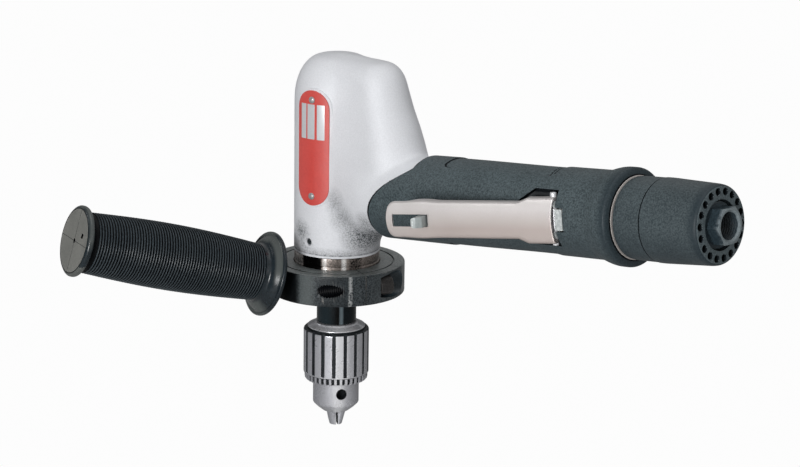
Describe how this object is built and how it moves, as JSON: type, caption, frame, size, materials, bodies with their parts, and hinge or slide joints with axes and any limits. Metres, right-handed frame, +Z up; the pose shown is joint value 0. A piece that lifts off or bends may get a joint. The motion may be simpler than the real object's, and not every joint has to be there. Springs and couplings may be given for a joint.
{
  "type": "pneumatic right-angle drill",
  "caption": "Air-powered right-angle drill: a vertical motor housing with a keyed chuck below, a clamp-on side handle, and a rear handle with a lock-off throttle lever and exhaust muffler.",
  "frame": {"origin": "where the rear handle's axis crosses the spindle's axis, in the middle of the head", "axes": "+Z up along the spindle's axis towards the head's top, +X towards the rear handle, whose axis climbs 6.5 degrees from +X, -Y the side with the throttle lever and the name plate"},
  "size_m": [0.3334, 0.1909, 0.2119],
  "materials": {
    "cast_aluminium": "bead-blasted casting with fine sparkle",
    "label_red": "red enamel on thin aluminium, with plain white fields",
    "bright_steel": "turned and ground bright steel",
    "nickel_steel": "nickel-plated turned steel",
    "black_steel": "black oxide steel with an oiled sheen",
    "lever_steel": "pressed stainless sheet, satin",
    "seal_rubber": "black nitrile",
    "gloss_black": "glossy black moulding with fine ribs",
    "grip_composite": "slate blue-grey textured composite",
    "muffler_paint": "slate blue-grey textured finish",
    "pale_plastic": "pale grey-green acetal",
    "vane_fibre": "brown phenolic laminate",
    "valve_brass": "turned brass",
    "felt": "pressed sound-absorbing felt"
  },
  "bodies": {
    "drill": {"head_housing": "cast_aluminium", "name_plate": "label_red", "plate_screw_upper": "bright_steel", "plate_screw_lower": "bright_steel", "lock_set_screw": "black_steel", "gear_case": "nickel_steel", "ring_gear": "bright_steel", "spindle_bearing": "bright_steel", "spindle_seal": "seal_rubber", "lower_end_plate": "bright_steel", "upper_end_plate": "bright_steel", "lower_rotor_bearing": "bright_steel", "upper_rotor_bearing": "bright_steel", "motor_cylinder": "bright_steel", "wave_spring": "bright_steel", "handle_core": "cast_aluminium", "grip_sleeve": "grip_composite", "lever_bracket": "pale_plastic", "lever_pin": "bright_steel", "valve_bushing": "valve_brass", "valve_seat": "valve_brass", "valve_spring": "bright_steel", "retaining_ring": "bright_steel", "muffler_adapter": "muffler_paint", "muffler_cap": "muffler_paint", "muffler_felt": "felt", "inlet_bushing": "muffler_paint", "inlet_screen": "valve_brass"},
    "rotor": {"motor_rotor": "bright_steel", "rotor_vane_1": "vane_fibre", "rotor_vane_2": "vane_fibre", "rotor_vane_3": "vane_fibre", "rotor_vane_4": "vane_fibre", "rotor_vane_5": "vane_fibre"},
    "spindle": {"output_spindle": "black_steel", "planet_pin_1": "bright_steel", "planet_pin_2": "bright_steel", "planet_pin_3": "bright_steel", "chuck_body": "bright_steel", "chuck_screw": "black_steel"},
    "planet_1": {"planet_gear_1": "bright_steel"},
    "planet_2": {"planet_gear_2": "bright_steel"},
    "planet_3": {"planet_gear_3": "bright_steel"},
    "sleeve": {"chuck_sleeve": "bright_steel", "chuck_nut": "bright_steel"},
    "jaw_1": {"chuck_jaw_1": "bright_steel"},
    "jaw_2": {"chuck_jaw_2": "bright_steel"},
    "jaw_3": {"chuck_jaw_3": "bright_steel"},
    "collar": {"clamp_collar": "black_steel", "clamp_screw": "black_steel", "side_handle_stud": "bright_steel", "side_handle_grip": "gloss_black"},
    "lever": {"throttle_lever": "lever_steel", "lock_pin": "bright_steel"},
    "tab": {"lock_tab": "pale_plastic"},
    "valve": {"throttle_valve": "bright_steel"}
  },
  "joints": [
    {"name": "spindle_spin", "type": "hinge", "parent": "drill", "child": "spindle", "pos_m": [0, 0, -0.066], "axis": [0, 0, 1], "continuous": true},
    {"name": "rotor_spin", "type": "hinge", "parent": "drill", "child": "rotor", "pos_m": [0, 0, 0.008], "axis": [0, 0, 1], "continuous": true},
    {"name": "planet_1_spin", "type": "hinge", "parent": "spindle", "child": "planet_1", "pos_m": [0.0108, 0, -0.0325], "axis": [0, 0, 1], "continuous": true},
    {"name": "planet_2_spin", "type": "hinge", "parent": "spindle", "child": "planet_2", "pos_m": [-0.0054, 0.00935, -0.0325], "axis": [0, 0, 1], "continuous": true},
    {"name": "planet_3_spin", "type": "hinge", "parent": "spindle", "child": "planet_3", "pos_m": [-0.0054, -0.00935, -0.0325], "axis": [0, 0, 1], "continuous": true},
    {"name": "chuck_sleeve_turn", "type": "hinge", "parent": "spindle", "child": "sleeve", "pos_m": [0, 0, -0.09], "axis": [0, 0, 1], "range_deg": [0, 1440]},
    {"name": "jaw_1_slide", "type": "slide", "parent": "spindle", "child": "jaw_1", "axis": [0.1801, 0.104, 0.9781], "range_m": [0, 0.0101]},
    {"name": "jaw_2_slide", "type": "slide", "parent": "spindle", "child": "jaw_2", "axis": [-0.1801, 0.104, 0.9781], "range_m": [0, 0.0101]},
    {"name": "jaw_3_slide", "type": "slide", "parent": "spindle", "child": "jaw_3", "axis": [0, -0.2079, 0.9781], "range_m": [0, 0.0101]},
    {"name": "collar_swivel", "type": "hinge", "parent": "drill", "child": "collar", "pos_m": [0, 0, -0.048], "axis": [0, 0, 1], "range_deg": [-200, 60]},
    {"name": "throttle_press", "type": "hinge", "parent": "drill", "child": "lever", "pos_m": [0.17428, -0.0195, 0.0198], "axis": [0.1129, 0, -0.9936], "range_deg": [0, 14], "stiffness_Nm_per_rad": 1.2, "springref_deg": -5.73},
    {"name": "lock_tab_turn", "type": "hinge", "parent": "lever", "child": "tab", "pos_m": [0.10908, -0.04467, 0.01209], "axis": [0.1129, 0, -0.9936], "range_deg": [0, 87]},
    {"name": "valve_slide", "type": "slide", "parent": "drill", "child": "valve", "axis": [0, 1, 0], "range_m": [0, 0.0045], "deforming": ["valve_spring"]}
  ],
  "couplings": [
    {"joint": "rotor_spin", "follows": "spindle_spin", "ratio": 4.5},
    {"joint": "planet_1_spin", "follows": "spindle_spin", "ratio": -2.8},
    {"joint": "planet_2_spin", "follows": "spindle_spin", "ratio": -2.8},
    {"joint": "planet_3_spin", "follows": "spindle_spin", "ratio": -2.8},
    {"joint": "jaw_1_slide", "follows": "chuck_sleeve_turn", "m_per_rad": 0.00039789},
    {"joint": "jaw_2_slide", "follows": "chuck_sleeve_turn", "m_per_rad": 0.00039789},
    {"joint": "jaw_3_slide", "follows": "chuck_sleeve_turn", "m_per_rad": 0.00039789},
    {"joint": "lock_tab_turn", "follows": "throttle_press", "ratio": 6.15},
    {"joint": "valve_slide", "follows": "throttle_press", "m_per_rad": 0.0173}
  ]
}
